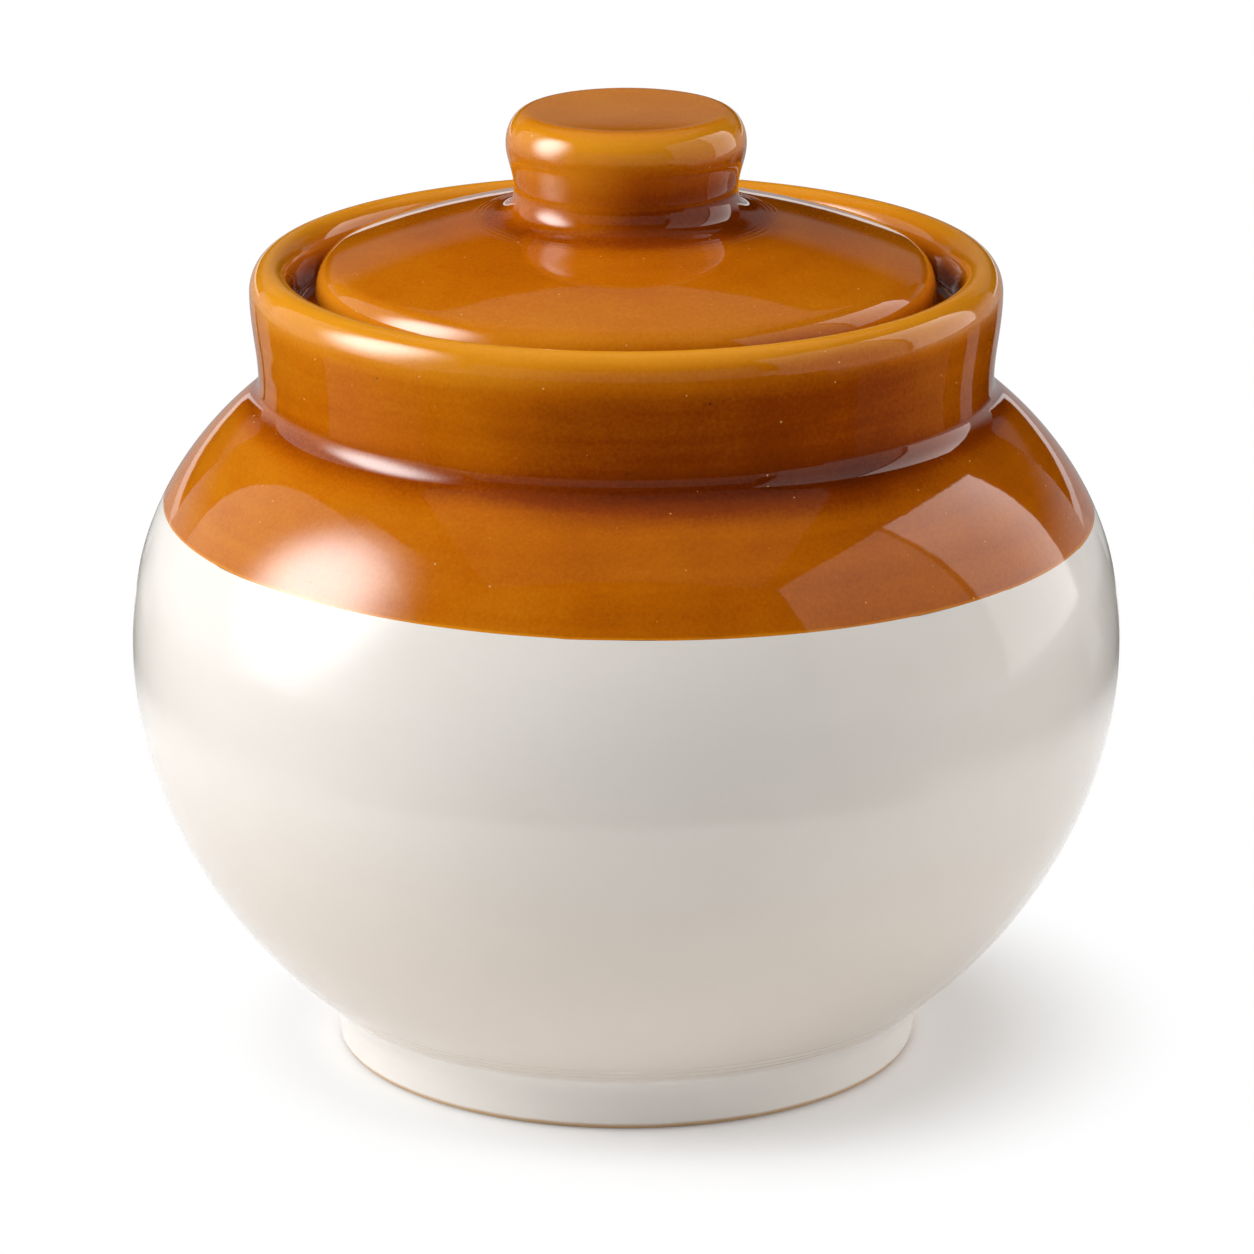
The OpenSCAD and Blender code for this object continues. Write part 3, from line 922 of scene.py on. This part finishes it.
colour = mix(tree, maths(tree, "MULTIPLY", pinholes, 0.8), ramp.outputs[0], (0.05, 0.012, 0.002, 1))
colour = mix(tree, maths(tree, "MULTIPLY", specks, 0.75), colour, (0.78, 0.42, 0.13, 1))
tree.links.new(colour, shader.inputs["Base Color"])
peel = wander(tree, noise(tree, place, 230, 2), 7e-6)
swell = wander(tree, noise(tree, place, 42, 1), 1.4e-5)
dents = maths(tree, "MULTIPLY", pinholes, -6e-5)
surface = total(tree, peel, swell, dents, maths(tree, "MULTIPLY", specks, 2.5e-5))
bump = add(tree, "Bump", {"Height": surface, "Distance": 1.0, "Strength": 1.0})
tree.links.new(bump.outputs[0], shader.inputs["Normal"])
shader.inputs["Roughness"].default_value = 0.04
shader.inputs["IOR"].default_value = 1.5

# %% [markdown]
# ## Off-white glaze
#
# A milky glaze over the same clay: warm white, a little warmer where it lies thin, with very fine
# mottling and a few tiny brown specks of iron from the clay. Painted shade makes it darker and
# warmer towards the bottom of the belly, and painted light makes the foot ring a lighter white.

# %% Off-white glaze
ivory, tree, shader = new_finish("white_glaze")
place = add(tree, "TexCoord").outputs["Object"]
pooled = add(tree, "Attribute", attribute_name="pooling").outputs["Fac"]
mottle = wander(tree, noise(tree, place, 60, 5, 0.65), 0.35)
cloud = wander(tree, noise(tree, place, 11, 2), 0.35)
depth = total(tree, pooled, mottle, cloud)
evenness = between(tree, depth, -1.0, 1.0)
colour = mix(tree, evenness, (0.80, 0.76, 0.71, 1), (0.85, 0.825, 0.79, 1))
level = add(tree, "SeparateXYZ", {0: place}).outputs[2]
# Painted shade: darker and warmer towards the bottom of the belly.
low_painted_shade = between(tree, level, 0.030, 0.085, 1.0, 0.0)
colour = mix(tree, low_painted_shade, colour, (0.90, 0.845, 0.79, 1), "MULTIPLY")
# Painted light: the foot ring a lighter white.
foot_painted_light = between(tree, level, 0.0095, 0.0115, 1.0, 0.0)
colour = mix(tree, foot_painted_light, colour, (0.88, 0.85, 0.81, 1))
ragged = maths(tree, "ADD", level, wander(tree, noise(tree, place, 150), 0.00015))
toasted = between(tree, ragged, 0.0008, 0.0016, 1.0, 0.0)
colour = mix(tree, toasted, colour, (0.56, 0.36, 0.18, 1))
iron = spots(tree, place, 120, 0.00024, 0.13, 5.3)
colour = mix(tree, maths(tree, "MULTIPLY", iron, 0.4), colour, (0.42, 0.28, 0.16, 1))
pits = spots(tree, place, 170, 0.0002, 0.10, 9.1)
colour = mix(tree, maths(tree, "MULTIPLY", pits, 0.25), colour, (0.62, 0.56, 0.50, 1))
tree.links.new(colour, shader.inputs["Base Color"])
peel = wander(tree, noise(tree, place, 260, 2), 6e-6)
swell = wander(tree, noise(tree, place, 38, 1), 2.2e-5)
surface = total(tree, peel, swell, maths(tree, "MULTIPLY", pits, -2.5e-5))
bump = add(tree, "Bump", {"Height": surface, "Distance": 1.0, "Strength": 1.0})
tree.links.new(bump.outputs[0], shader.inputs["Normal"])
shader.inputs["Roughness"].default_value = 0.10
shader.inputs["IOR"].default_value = 1.5

# %% [markdown]
# ## Bare clay
#
# Where the glaze was wiped off, the fired clay is toasted, matt and sandy, with coarse grains.

# %% Bare clay
clay, tree, shader = new_finish("bare_clay")
place = add(tree, "TexCoord").outputs["Object"]
toast = noise(tree, place, 70, 4, 0.6)
grain = noise(tree, place, 1500, 2, 0.7)
colour = mix(tree, toast, (0.30, 0.185, 0.105, 1), (0.52, 0.37, 0.235, 1))
colour = mix(tree, between(tree, grain, 0.35, 0.65, 0.0, 0.35), colour, (0.62, 0.48, 0.34, 1))
grog = spots(tree, place, 420, 0.0003, 0.25, 2.2)
colour = mix(tree, maths(tree, "MULTIPLY", grog, 0.55), colour, (0.16, 0.09, 0.05, 1))
tree.links.new(colour, shader.inputs["Base Color"])
surface = total(tree, wander(tree, grain, 3e-5), maths(tree, "MULTIPLY", grog, 4e-5))
bump = add(tree, "Bump", {"Height": surface, "Distance": 1.0, "Strength": 1.0})
tree.links.new(bump.outputs[0], shader.inputs["Normal"])
shader.inputs["Roughness"].default_value = 0.85

# %% [markdown]
# ## Putting it together
#
# Each coat takes the place of the plain coat in the frame and rides on the jar or on the lid. The
# clay solids stay as they are, with the new clay finish.

# %% Finishes, bodies and slots
COATS = (
    (shoulder_coat, amber, "amber_glaze", "jar", "shoulder_glaze"),
    (belly_coat, ivory, "white_glaze", "jar", "belly_glaze"),
    (liner_coat, ivory, "white_glaze", "jar", "liner_glaze"),
    (base_coat, ivory, "white_glaze", "jar", "base_glaze"),
    (lid_liner_coat, ivory, "white_glaze", "lid", "lid_liner_glaze"),
)
for coat, finish, slot, body, node in COATS:
    coat.data.materials.append(finish)
    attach(coat, body)
    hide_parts(node)
lid_coat.data.materials.append(amber)
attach(lid_coat, "lid")
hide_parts("lid_glaze", "knob_glaze")

CLAY_NODES = ("base_clay", "bowl_clay", "shoulder_clay", "collar_clay", "lid_clay", "knob_clay")
for name in CLAY_NODES:
    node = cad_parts[name]
    for slot in node.material_slots:
        slot.material = clay
print("Coats:", len(COATS) + 1, "and clay solids:", len(CLAY_NODES))
